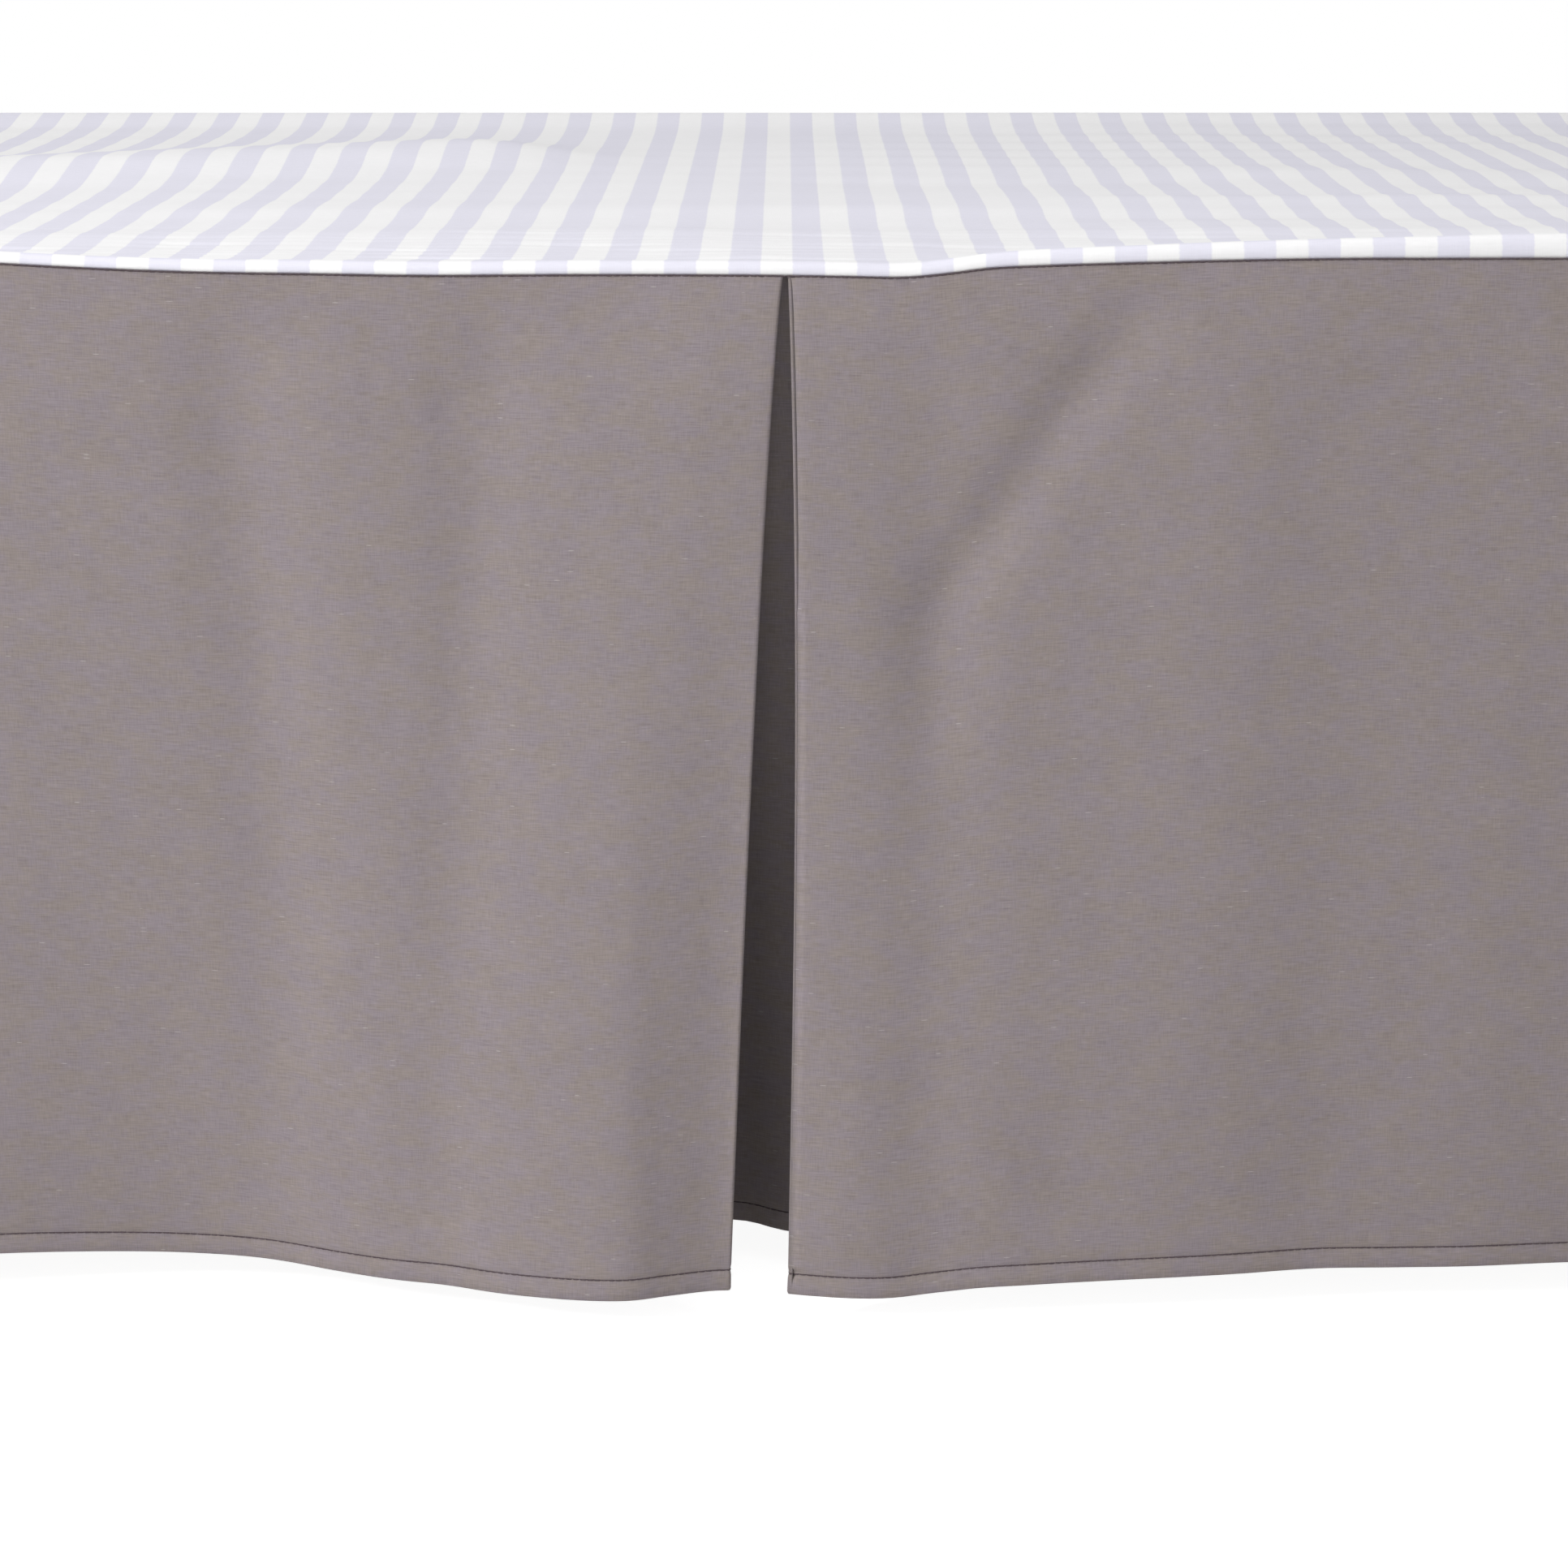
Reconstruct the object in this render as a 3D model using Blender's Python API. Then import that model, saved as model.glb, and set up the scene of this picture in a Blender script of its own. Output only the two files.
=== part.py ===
"""Crib-size bed skirt on a plain bed base: a striped deck that lies on the base, four grey drops
sewn round its edge, the two long ones with an inverted box pleat at the middle, and under them
the padded base that they fall over. Metres, +X along the bed, +Y to its back, +Z up, feet at z = 0."""

import math
from collections import namedtuple

import bmesh
import bpy
import numpy as np

MM = 0.001

# Driving sizes
LENGTH = 1321 * MM            # deck, side to side
WIDTH = 711 * MM              # deck, front to back
DROP = 425 * MM               # seam to hem
SEAM_LEVEL = 445 * MM         # level that the seam heights are given from
CLOTH = 1.2 * MM              # thickness of every sheet
SEAM_GAP = 0.3 * MM           # between the deck's rim and a drop's top edge
ROLL = 4.5 * MM               # radius of the deck's turned edge
TURN_DOWN = 1.0 * MM          # straight part of the rim below that roll
ROLL_STEPS = 3

# Inverted box pleat
RETURN_REACH = 89 * MM        # outer folds, from the middle of the drop
FOLD_RADIUS = 0.9 * MM        # middle of the cloth, at each fold
FOLD_STEPS = 4
RETURN_STEPS = 3
UNDERLAY_STEPS = 9
PANEL_DRAWN = 300 * MM        # how far from the pleat the panels are drawn along as it opens
PLEAT_OPEN_LEFT = 22.4 * MM   # how far the left fold stands open at the hem
PLEAT_OPEN_RIGHT = 1.3 * MM
PLEAT_BOW_RIGHT = 3.0 * MM    # the right fold bows away from it between seam and hem
UNDERLAY_LIFT = 3.5 * MM      # its hem hangs this much higher

# Bed base
PAD_INSET = 9 * MM            # from the deck's edge
PAD_HEIGHT = 45 * MM
PAD_ROUND = 12 * MM
PAD_GAP = 0.8 * MM
BOX_INSET = 24 * MM
BOX_HEIGHT = 90 * MM
BOX_ROUND = 6 * MM
LEG_TOP_RADIUS = 22 * MM
LEG_FOOT_RADIUS = 17 * MM
LEG_INSET_X = 105 * MM
LEG_INSET_Y = 100 * MM
LEG_SIDES = 20
LEG_CHAMFER = 1.5 * MM
TOUCH_GAP = 0.3 * MM

# The long edge of the deck and the drop under it, in mm: place along the bed, height of the
# rolled band, seam height, and how far the hem hangs behind the seam (minus is in front of it).
# The places are the same on both sides of the middle, so that both long drops fit the deck.
Station = namedtuple("Station", "x band seam hem")
FRONT = [Station(*(value * MM for value in row)) for row in (
    (-660.5, 5.5, 1.0, -8), (-570, 5.2, 2.0, 6), (-480, 5.0, 1.5, -7), (-400, 4.8, 2.0, 5),
    (-330, 4.6, 1.0, 17), (-290, 4.6, -1.0, 24), (-258, 4.7, -2.5, 26.5), (-225, 4.8, -3.5, 23),
    (-190, 5.0, -4.0, 10), (-143, 5.1, -4.7, -7.5), (-104, 5.2, -4.5, -18.5), (-82, 5.3, -4.4, -22.5),
    (-64, 5.3, -4.4, -22.5), (-48, 5.3, -4.4, -17), (-25, 5.3, -4.5, -10.5), (0, 5.3, -4.7, -14),
    (25, 5.3, -5.1, -18), (48, 5.3, -5.4, -18), (64, 5.4, -4.0, -17), (82, 5.8, -1.8, -15.5),
    (104, 6.4, -0.8, -14), (143, 7.0, 0.4, -11), (190, 7.6, 1.5, -7), (225, 8.2, 2.0, -2.5),
    (258, 9.0, 2.0, -1.5), (290, 9.8, 2.1, -0.5), (330, 10.0, 2.0, 4), (400, 8.6, 1.5, 9),
    (480, 6.3, 0.5, -5), (570, 5.8, 1.0, 7), (660.5, 5.5, 1.0, -8),
)]
# The same for a side drop and for the pleat's underlay, in mm: place, hem behind the seam.
SIDE = [(-355.5, -8), (-260, 5), (-170, -9), (-70, 6), (30, -6), (120, 8), (220, -7), (300, 4),
        (355.5, -8)]
UNDERLAY = [(-89, 50), (-52, 55), (-17, 56), (0, 45), (35, 38), (89, 42)]

# Soft creases of the long drop, in mm and shares of the drop: where each starts and ends, how
# deep it is pressed in (minus is a ridge), and how wide.
Crease = namedtuple("Crease", "x_start t_start x_end t_end depth width")
CREASES = [
    Crease(-222, 0.04, -208, 0.60, 3.2, 20),
    Crease(-117, 0.03, -143, 0.90, 3.2, 18),
    Crease(-180, 0.10, -186, 0.85, -1.1, 20),
    Crease(-30, 0.05, -52, 0.55, -2.6, 34),
    Crease(146, 0.02, 62, 0.32, 3.4, 16),
    Crease(60, 0.32, 60, 0.95, 2.6, 18),
    Crease(180, 0.12, 176, 0.75, -2.6, 40),
]
CREASE_FADE = 0.35            # share of its length over which a crease dies away past its ends
CREASE_FREE = 0.10            # share of the drop, below the seam, over which creases build up
SWELL = 0.8 * MM              # how far the cloth swells out just under the seam
SWELL_AT_PLEAT = 2.6 * MM     # and how much further beside the pleat
SWELL_SPREAD = 105 * MM
SWELL_DROP = 0.07             # share of the drop over which it swells out
LEVELS = (0.0, 0.04, 0.12, 0.24, 0.40, 0.57, 0.75, 0.91, 1.0)  # rows down a drop

# Deck
DECK_LEVEL = -4.3 * MM        # where the deck lies flat, from the seam level
EDGE_REACH = 30 * MM          # how far in from the edge the raised roll comes down to that level
BACK_BAND = 5.5 * MM          # the back edge is level: height of its rolled band
BACK_SEAM = -3.0 * MM
EDGE_CALM = 60 * MM           # the deck's own folds die away this close to its edges
DECK_ROWS = (-355.5, -333, -300, -250, -195, -135, -70, 0,
             70, 135, 195, 250, 300, 333, 355.5)  # mm, front to back

# Folds of the deck, in mm: the two ends of each fold's crest, its height, and its width in
# front of the crest and behind it.
Fold = namedtuple("Fold", "x_start y_start x_end y_end height width width_behind")
DECK_FOLDS = [
    Fold(-430, 10, -165, 130, 9.5, 42, 85),
    Fold(215, -190, 420, -205, 1.3, 24, 24),
    Fold(180, -78, 460, -68, 1.6, 26, 26),
    Fold(240, 60, 470, 28, 1.8, 28, 28),
    Fold(-300, -228, -60, -215, 1.2, 24, 24),
    Fold(-240, -120, 40, -110, 1.4, 26, 26),
    Fold(20, -170, 150, -150, -1.6, 30, 30),
    Fold(60, 10, 190, 30, -1.8, 34, 34),
]
FOLD_END = 60 * MM            # a fold dies away over this length past its ends

COLOURS = {                   # colour, roughness
    "grey_cotton": ((0.285, 0.245, 0.240, 1.0), 0.95),
    "striped_cotton": ((0.80, 0.80, 0.85, 1.0), 0.92),
    "white_ticking": ((0.80, 0.78, 0.74, 1.0), 0.95),
    "pale_wood": ((0.56, 0.40, 0.24, 1.0), 0.55),
}


def clear_scene():
    for obj in list(bpy.data.objects):
        bpy.data.objects.remove(obj, do_unlink=True)


def material(name):
    found = bpy.data.materials.get(name)
    if found:
        return found
    colour, roughness = COLOURS[name]
    made = bpy.data.materials.new(name)
    made.use_nodes = True
    shader = made.node_tree.nodes["Principled BSDF"]
    shader.inputs["Base Color"].default_value = colour
    shader.inputs["Roughness"].default_value = roughness
    shader.inputs["Metallic"].default_value = 0.0
    return made


def add_object(name, bm, slot):
    mesh = bpy.data.meshes.new(name)
    bm.to_mesh(mesh)
    bm.free()
    mesh.materials.append(material(slot))
    mesh.shade_smooth()
    obj = bpy.data.objects.new(name, mesh)
    bpy.context.scene.collection.objects.link(obj)
    return obj


def thicken(obj, offset):
    solid = obj.modifiers.new("cloth thickness", "SOLIDIFY")
    solid.thickness = CLOTH
    solid.offset = offset
    solid.use_even_offset = True
    solid.use_rim = True


def smooth_interp(x, places, values):
    """Value at x on a smooth curve through the rows."""
    row = int(np.clip(np.searchsorted(places, x) - 1, 0, len(places) - 2))
    share = np.clip((x - places[row]) / (places[row + 1] - places[row]), 0, 1)
    secants = np.diff(values) / np.diff(places)
    before = secants[max(row - 1, 0)]
    here = secants[row]
    after = secants[min(row + 1, len(secants) - 1)]
    reach = places[row + 1] - places[row]
    start = 0.5 * (before + here) * reach
    end = 0.5 * (here + after) * reach
    return (
        values[row] * (1 + 2 * share) * (1 - share) ** 2
        + start * share * (1 - share) ** 2
        + values[row + 1] * share ** 2 * (3 - 2 * share)
        - end * share ** 2 * (1 - share)
    )


TINY = 0.01 * MM
PAD_FOOT = SEAM_LEVEL + DECK_LEVEL - PAD_HEIGHT
BOX_FOOT = PAD_FOOT - TOUCH_GAP - BOX_HEIGHT
LEG_X = LENGTH / 2 - LEG_INSET_X
LEG_Y = WIDTH / 2 - LEG_INSET_Y
STATION_X = np.array([row.x for row in FRONT])
STATION_BAND = np.array([row.band for row in FRONT])
STATION_SEAM = np.array([row.seam for row in FRONT])
STATION_HEM = np.array([row.hem for row in FRONT])
ROW_Y = np.array(DECK_ROWS) * MM
SIDE_X, SIDE_HEM = np.array(SIDE).T * MM
UNDERLAY_X, UNDERLAY_HEM = np.array(UNDERLAY).T * MM
PANEL_PLACES = np.clip(STATION_X, ROLL + SEAM_GAP - LENGTH / 2, LENGTH / 2 - ROLL - SEAM_GAP)
SIDE_ROWS = np.sort(np.append(ROW_Y, (ROW_Y[1:] + ROW_Y[:-1]) / 2))
SIDE_PLACES = np.clip(SIDE_ROWS, ROLL + SEAM_GAP - WIDTH / 2, WIDTH / 2 - ROLL - SEAM_GAP)
LEFT_PLACES = PANEL_PLACES[STATION_X < -TINY]
RIGHT_PLACES = PANEL_PLACES[STATION_X > TINY]


# Deck and seam heights

def edge_share(inside):
    """Share of its full rise that the roll of a long edge has, this far in from the edge."""
    return math.exp(-(max(inside, 0) / EDGE_REACH) ** 1.5)


def front_rise(x):
    return np.interp(x, STATION_X, STATION_SEAM + STATION_BAND) - DECK_LEVEL


def deck_rest(x, y):
    """Height at which the deck lies on the pad, with its folds and without the edge rolls."""
    height = 0.0
    for fold in DECK_FOLDS:
        start = np.array((fold.x_start, fold.y_start)) * MM
        run = np.array((fold.x_end, fold.y_end)) * MM - start
        length = math.hypot(*run)
        along = np.dot((x, y) - start, run) / length
        across = (run[0] * (y - start[1]) - run[1] * (x - start[0])) / length
        width = (fold.width_behind if across > 0 else fold.width) * MM
        past_end = max(-along, along - length, 0) / FOLD_END
        height += fold.height * MM * math.exp(-past_end ** 2 - (across / width) ** 2)
    inside = min(LENGTH / 2 - abs(x), WIDTH / 2 - abs(y)) / EDGE_CALM
    return SEAM_LEVEL + DECK_LEVEL + height * float(np.clip(inside, 0, 1))


def deck_top(x, y):
    """Height of the deck's upper face, which rises in a roll along both long edges."""
    front = front_rise(x) * edge_share(y + WIDTH / 2)
    back = (BACK_SEAM + BACK_BAND - DECK_LEVEL) * edge_share(WIDTH / 2 - y)
    return deck_rest(x, y) + front + back


def band_height(x, y):
    """Height of the rolled band."""
    return np.interp(x, STATION_X, STATION_BAND) if y <= 0 else BACK_BAND


def front_seam(x):
    at_stations = [deck_top(place, -WIDTH / 2) - band for place, band in zip(STATION_X, STATION_BAND)]
    return np.interp(x, STATION_X, at_stations)


def back_seam(x):
    return np.full_like(x, SEAM_LEVEL + BACK_SEAM)


def right_seam(y):
    at_rows = [deck_top(LENGTH / 2, row) - band_height(LENGTH / 2, row) for row in ROW_Y]
    return np.interp(y, ROW_Y, at_rows)


def left_seam(y):
    """The left drop is turned to its side the other way, so its places run back to front."""
    return right_seam(-y)


# Cross-sections of a drop, seen from above: points (along, depth), depth growing towards the bed,
# for the middle of the cloth. A level is a share of the drop, 0 at the seam and 1 at the hem.

def sag(level):
    """Share of its depth at the hem that the cloth has reached at this level."""
    return 0.35 * level + 0.65 * level ** 2


def open_share(level):
    """Share of its opening at the hem that the pleat has reached at this level."""
    return level ** 1.3


def swell(x, level):
    """How far the long drop stands proud of a straight fall, most of it just under the seam."""
    full = SWELL + SWELL_AT_PLEAT * math.exp(-(x / SWELL_SPREAD) ** 2)
    return full * (1 - math.exp(-level / SWELL_DROP)) * (1 - level)


def crease_depth(x, level):
    depth = 0.0
    for crease in CREASES:
        span = (level - crease.t_start) / (crease.t_end - crease.t_start)
        middle = (crease.x_start + (crease.x_end - crease.x_start) * np.clip(span, 0, 1)) * MM
        across = (x - middle) / (crease.width * MM)
        past_end = max(-span, span - 1, 0) / CREASE_FADE
        depth += crease.depth * MM * math.exp(-past_end ** 2 - across ** 2)
    return depth * min(level / CREASE_FREE, 1)


def panel_depth(x, level):
    hem = smooth_interp(x, STATION_X, STATION_HEM)
    return CLOTH / 2 + hem * sag(level) + crease_depth(x, level) - swell(x, level)


def pleat_folds(level):
    """Places along the drop of the two folds that meet at the seam: the left one and the right."""
    left = -PLEAT_OPEN_LEFT * level ** 0.75
    right = PLEAT_OPEN_RIGHT + PLEAT_BOW_RIGHT * math.sin(math.pi * level ** 0.8)
    return left, right


def panel_section(places, fold_shift, level):
    """The panel's points. The cloth near the pleat is drawn along with its fold."""
    points = []
    for place in places:
        drawn = fold_shift * max(0, 1 - abs(place) / PANEL_DRAWN) ** 2
        points.append(np.array((place + drawn, panel_depth(place + drawn, level))))
    return points


def half_pleat(fold_x, fold_depth, outer_depth):
    """The left half of the pleat: round the panel's fold, along the return, round the outer fold."""
    fold = np.array((fold_x - CLOTH / 2 - FOLD_RADIUS, fold_depth + FOLD_RADIUS))
    outer = np.array((-RETURN_REACH, outer_depth))
    turned = math.pi - math.atan2(outer[1] - fold[1], fold[0] - outer[0])
    first = [fold + FOLD_RADIUS * np.array((math.sin(turn), -math.cos(turn)))
             for turn in np.linspace(0, turned, FOLD_STEPS + 1)]
    last = [outer + FOLD_RADIUS * np.array((-math.sin(turn), math.cos(turn)))
            for turn in np.linspace(turned, 0, FOLD_STEPS + 1)]
    shares = np.linspace(0, 1, RETURN_STEPS + 1)[1:-1]
    return first + [first[-1] + (last[0] - first[-1]) * share for share in shares] + last


def underlay_section(start, end, level):
    """Between the outer folds, through the depths of UNDERLAY."""
    points = []
    for x in np.linspace(start[0], end[0], UNDERLAY_STEPS + 1)[1:-1]:
        chord = np.interp(x, (start[0], end[0]), (start[1], end[1]))
        hem_chord = np.interp(x, (UNDERLAY_X[0], UNDERLAY_X[-1]), (UNDERLAY_HEM[0], UNDERLAY_HEM[-1]))
        bulge = smooth_interp(x, UNDERLAY_X, UNDERLAY_HEM) - hem_chord
        points.append(np.array((x, chord + bulge * open_share(level))))
    return points


def long_section(level):
    """A long drop with its inverted box pleat, as points and each one's share of the underlay's lift."""
    left_fold, right_fold = pleat_folds(level)
    left_panel = panel_section(LEFT_PLACES, left_fold, level)
    right_panel = panel_section(RIGHT_PLACES, right_fold - PLEAT_OPEN_RIGHT, level)
    stacked = CLOTH / 2 + 3 * FOLD_RADIUS
    left_outer, right_outer = (stacked + hem * open_share(level) for hem in UNDERLAY_HEM[[0, -1]])
    left_half = half_pleat(left_fold, panel_depth(left_fold, level), left_outer)
    mirrored = half_pleat(-right_fold, panel_depth(right_fold, level), right_outer)
    right_half = [point * (-1, 1) for point in reversed(mirrored)]
    between = underlay_section(left_half[-1], right_half[0], level)
    points = left_panel + left_half + between + right_half + right_panel
    inward = [0] * FOLD_STEPS + list(np.linspace(0, 1, RETURN_STEPS + 1)) + [1] * FOLD_STEPS
    lifted = [0] * len(left_panel) + inward + [1] * len(between) + inward[::-1] + [0] * len(right_panel)
    return points, lifted


def side_section(level):
    """A side drop, without a pleat."""
    points = [np.array((x, CLOTH / 2 + smooth_interp(x, SIDE_X, SIDE_HEM) * sag(level)))
              for x in SIDE_PLACES]
    return points, [0] * len(points)


# Pieces

def make_drop(name, section, seam, reach, turn):
    """A hanging sheet from its sections, one for each of LEVELS, turned to its side of the bed."""
    bm = bmesh.new()
    seam_places = [point[0] for point in section(0.0)[0]]
    rows = []
    for level in LEVELS:
        points, lifted = section(level)
        heights = [seam(place) - SEAM_GAP - DROP * level + UNDERLAY_LIFT * level * lift
                   for place, lift in zip(seam_places, lifted)]
        rows.append([bm.verts.new((x, depth - reach, height))
                     for (x, depth), height in zip(points, heights)])
    for upper, lower in zip(rows, rows[1:]):
        for corners in zip(upper, lower, lower[1:], upper[1:]):
            bm.faces.new(corners)
    drop = add_object(name, bm, "grey_cotton")
    drop.rotation_euler.z = turn
    thicken(drop, 0.0)
    return drop


def grid_of(columns, rows):
    """A flat grid whose lines stand at these places."""
    bm = bmesh.new()
    bmesh.ops.create_grid(bm, x_segments=len(columns) - 1, y_segments=len(rows) - 1, size=0.5)
    for vert in bm.verts:
        column = round((vert.co.x + 0.5) * (len(columns) - 1))
        row = round((vert.co.y + 0.5) * (len(rows) - 1))
        vert.co = (columns[column], rows[row], 0)
    return bm


def turn_down_edge(bm, height, radius):
    """Walls of this height round a grid, with a rounded top edge and rounded corners."""
    rim = [edge for edge in bm.edges if edge.is_boundary]
    walls = bmesh.ops.extrude_edge_only(bm, edges=rim)["geom"]
    lowered = [item for item in walls if isinstance(item, bmesh.types.BMVert)]
    bmesh.ops.translate(bm, verts=lowered, vec=(0, 0, -height))
    far = [max(abs(vert.co[axis]) for vert in bm.verts) for axis in (0, 1)]
    corners = [edge for edge in bm.edges if all(
        abs(abs(vert.co[axis]) - far[axis]) < TINY for vert in edge.verts for axis in (0, 1))]
    bmesh.ops.bevel(bm, geom=rim + corners, offset=radius, offset_type="OFFSET", segments=ROLL_STEPS,
                    profile=0.5, affect="EDGES", material=-1, clamp_overlap=False)
    bmesh.ops.recalc_face_normals(bm, faces=bm.faces)


def make_deck():
    """The striped sheet on top, its edge rolled over and turned down to the seam."""
    bm = grid_of(STATION_X, ROW_Y)
    wall = ROLL + TURN_DOWN
    turn_down_edge(bm, wall, ROLL)
    for vert in bm.verts:
        stretched = vert.co.z * band_height(vert.co.x, vert.co.y) / wall
        vert.co.z = deck_top(vert.co.x, vert.co.y) + stretched
    deck = add_object("deck", bm, "striped_cotton")
    thicken(deck, -1.0)
    return deck


def make_pad():
    """Padded top of the bed base, with the deck's own folds under it."""
    columns = np.clip(STATION_X, PAD_INSET - LENGTH / 2, LENGTH / 2 - PAD_INSET)
    rows = np.clip(np.delete(ROW_Y, (1, -2)), PAD_INSET - WIDTH / 2, WIDTH / 2 - PAD_INSET)
    bm = grid_of(columns, rows)
    turn_down_edge(bm, PAD_HEIGHT, PAD_ROUND)
    underside = [edge for edge in bm.edges if edge.is_boundary]
    bmesh.ops.contextual_create(bm, geom=underside)
    bmesh.ops.recalc_face_normals(bm, faces=bm.faces)
    for vert in bm.verts:
        top = deck_rest(vert.co.x, vert.co.y) - CLOTH - PAD_GAP
        share = 1 + vert.co.z / PAD_HEIGHT
        vert.co.z = PAD_FOOT + (top - PAD_FOOT) * share
    return add_object("base_pad", bm, "white_ticking")


def make_box():
    """The boxed frame under the pad."""
    bm = bmesh.new()
    sides = (LENGTH - 2 * BOX_INSET, WIDTH - 2 * BOX_INSET, BOX_HEIGHT)
    bmesh.ops.create_cube(bm, size=1.0)
    bmesh.ops.scale(bm, vec=sides, verts=bm.verts)
    bmesh.ops.bevel(bm, geom=bm.edges[:], offset=BOX_ROUND, offset_type="OFFSET", segments=2,
                    profile=0.5, affect="EDGES", material=-1)
    bmesh.ops.translate(bm, verts=bm.verts, vec=(0, 0, BOX_FOOT + BOX_HEIGHT / 2))
    return add_object("base_box", bm, "pale_wood")


def make_leg(name, x, y):
    """A turned leg that tapers to a flat foot on the floor."""
    height = BOX_FOOT - TOUCH_GAP
    bm = bmesh.new()
    bmesh.ops.create_cone(bm, cap_ends=True, segments=LEG_SIDES, radius1=LEG_FOOT_RADIUS,
                          radius2=LEG_TOP_RADIUS, depth=height)
    bmesh.ops.translate(bm, verts=bm.verts, vec=(0, 0, height / 2))
    foot_edges = [edge for edge in bm.edges if all(vert.co.z < TINY for vert in edge.verts)]
    bmesh.ops.bevel(bm, geom=foot_edges, offset=LEG_CHAMFER, offset_type="OFFSET", segments=1,
                    profile=0.5, affect="EDGES", material=-1)
    leg = add_object(name, bm, "pale_wood")
    leg.location = (x, y, 0)
    return leg


def main():
    clear_scene()
    make_deck()
    make_drop("drop_front", long_section, front_seam, WIDTH / 2, 0.0)
    make_drop("drop_back", long_section, back_seam, WIDTH / 2, math.pi)
    make_drop("drop_right", side_section, right_seam, LENGTH / 2, math.pi / 2)
    make_drop("drop_left", side_section, left_seam, LENGTH / 2, -math.pi / 2)
    make_pad()
    make_box()
    for depth_name, y_side in (("front", -1), ("back", 1)):
        for side_name, x_side in (("left", -1), ("right", 1)):
            make_leg(f"leg_{depth_name}_{side_name}", x_side * LEG_X, y_side * LEG_Y)


main()
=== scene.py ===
# Bed skirt on a plain bed base: striped deck, four grey drops with hems, padded base, legs.
# Metres, +X along the bed, +Y to its back, +Z up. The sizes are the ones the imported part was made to.
import math
import random

import bmesh
import bpy
import numpy as np
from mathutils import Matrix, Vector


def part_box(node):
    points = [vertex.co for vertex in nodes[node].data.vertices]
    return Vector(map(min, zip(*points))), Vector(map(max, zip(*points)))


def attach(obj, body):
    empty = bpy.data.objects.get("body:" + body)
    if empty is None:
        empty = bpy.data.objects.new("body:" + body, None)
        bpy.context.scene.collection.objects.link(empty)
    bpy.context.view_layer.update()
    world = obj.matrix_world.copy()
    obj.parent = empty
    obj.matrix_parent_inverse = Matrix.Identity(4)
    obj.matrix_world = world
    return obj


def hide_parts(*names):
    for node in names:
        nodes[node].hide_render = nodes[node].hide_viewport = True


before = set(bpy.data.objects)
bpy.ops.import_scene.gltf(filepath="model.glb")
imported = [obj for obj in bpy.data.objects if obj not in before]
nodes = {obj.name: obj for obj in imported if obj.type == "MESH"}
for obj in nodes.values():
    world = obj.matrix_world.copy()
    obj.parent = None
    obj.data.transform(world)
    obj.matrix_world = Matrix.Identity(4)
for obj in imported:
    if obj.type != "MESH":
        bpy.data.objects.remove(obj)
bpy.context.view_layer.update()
mm = 0.001

# Sizes that several pieces share

skirt = {
    "length": 1321 * mm,
    "width": 711 * mm,
    "drop": 425 * mm,
    "seamLevel": 445 * mm,
    "thickness": 0.8 * mm,    # of the cloth that is seen
    "solidThickness": 1.2 * mm,
    "seamGap": 0.3 * mm,
    "cornerInset": 4.8 * mm,  # the drops stop this far from the deck's corners
}
halfLength = skirt["length"] / 2
halfWidth = skirt["width"] / 2

# Long edge, in mm: place along the bed, height of the rolled band, seam height, hem behind the seam
frontEdge = np.array((
    (-660.5, 5.5, 1.0, -8), (-570, 5.2, 2.0, 6), (-480, 5.0, 1.5, -7), (-400, 4.8, 2.0, 5),
    (-330, 4.6, 1.0, 17), (-290, 4.6, -1.0, 24), (-258, 4.7, -2.5, 26.5), (-225, 4.8, -3.5, 23),
    (-190, 5.0, -4.0, 10), (-143, 5.1, -4.7, -7.5), (-104, 5.2, -4.5, -18.5), (-82, 5.3, -4.4, -22.5),
    (-64, 5.3, -4.4, -22.5), (-48, 5.3, -4.4, -17), (-25, 5.3, -4.5, -10.5), (0, 5.3, -4.7, -14),
    (25, 5.3, -5.1, -18), (48, 5.3, -5.4, -18), (64, 5.4, -4.0, -17), (82, 5.8, -1.8, -15.5),
    (104, 6.4, -0.8, -14), (143, 7.0, 0.4, -11), (190, 7.6, 1.5, -7), (225, 8.2, 2.0, -2.5),
    (258, 9.0, 2.0, -1.5), (290, 9.8, 2.1, -0.5), (330, 10.0, 2.0, 4), (400, 8.6, 1.5, 9),
    (480, 6.3, 0.5, -5), (570, 5.8, 1.0, 7), (660.5, 5.5, 1.0, -8),
)).T * mm
edgeX, edgeBand, edgeSeam, edgeHem = frontEdge
sideHem = np.array((
    (-355.5, -8), (-260, 5), (-170, -9), (-70, 6), (30, -6), (120, 8), (220, -7), (300, 4),
    (355.5, -8),
)).T * mm


# Value at x on a smooth curve through the rows
def smoothInterp(x, places, values):
    row = np.clip(np.searchsorted(places, x) - 1, 0, len(places) - 2)
    reach = np.diff(places)[row]
    share = np.clip((x - places[row]) / reach, 0, 1)
    slopes = np.diff(values) / np.diff(places)
    before = slopes[np.maximum(row - 1, 0)]
    after = slopes[np.minimum(row + 1, len(slopes) - 1)]
    start = 0.5 * (before + slopes[row]) * reach
    end = 0.5 * (slopes[row] + after) * reach
    return (values[row] * (1 + 2 * share) * (1 - share) ** 2 + start * share * (1 - share) ** 2
            + values[row + 1] * share ** 2 * (3 - 2 * share) - end * share ** 2 * (1 - share))


waves = {
    "count": 5,
    "lengths": (0.7, 1.6),    # shares of the pitch, drawn between these
}


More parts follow.
